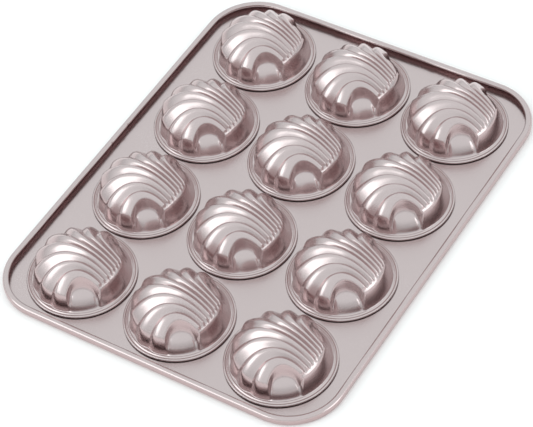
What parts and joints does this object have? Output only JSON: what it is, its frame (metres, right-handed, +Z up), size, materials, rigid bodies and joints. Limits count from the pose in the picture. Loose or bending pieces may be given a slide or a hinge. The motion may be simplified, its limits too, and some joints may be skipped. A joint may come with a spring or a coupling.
{
  "type": "madeleine pan",
  "caption": "Coated steel madeleine pan: scallop-shell cups crimped into a flat sheet with an open rolled rim, lying shells up.",
  "frame": {"origin": "middle of the sheet's baking face, on which the pan lies with its shells up", "axes": "+Y along the long side, in line with the rows of four cups; +X towards the hinge ends of the shells; +Z up out of the shells' crowns"},
  "size_m": [0.272, 0.3428, 0.035],
  "materials": {
    "frame_coat": "satin champagne non-stick coat",
    "cup_coat": "satin champagne non-stick coat"
  },
  "bodies": {
    "root": {"frame_sheet": "frame_coat", "shell_cup_r1_c1": "cup_coat", "shell_cup_r1_c2": "cup_coat", "shell_cup_r1_c3": "cup_coat", "shell_cup_r2_c1": "cup_coat", "shell_cup_r2_c2": "cup_coat", "shell_cup_r2_c3": "cup_coat", "shell_cup_r3_c1": "cup_coat", "shell_cup_r3_c2": "cup_coat", "shell_cup_r3_c3": "cup_coat", "shell_cup_r4_c1": "cup_coat", "shell_cup_r4_c2": "cup_coat", "shell_cup_r4_c3": "cup_coat"}
  },
  "joints": []
}
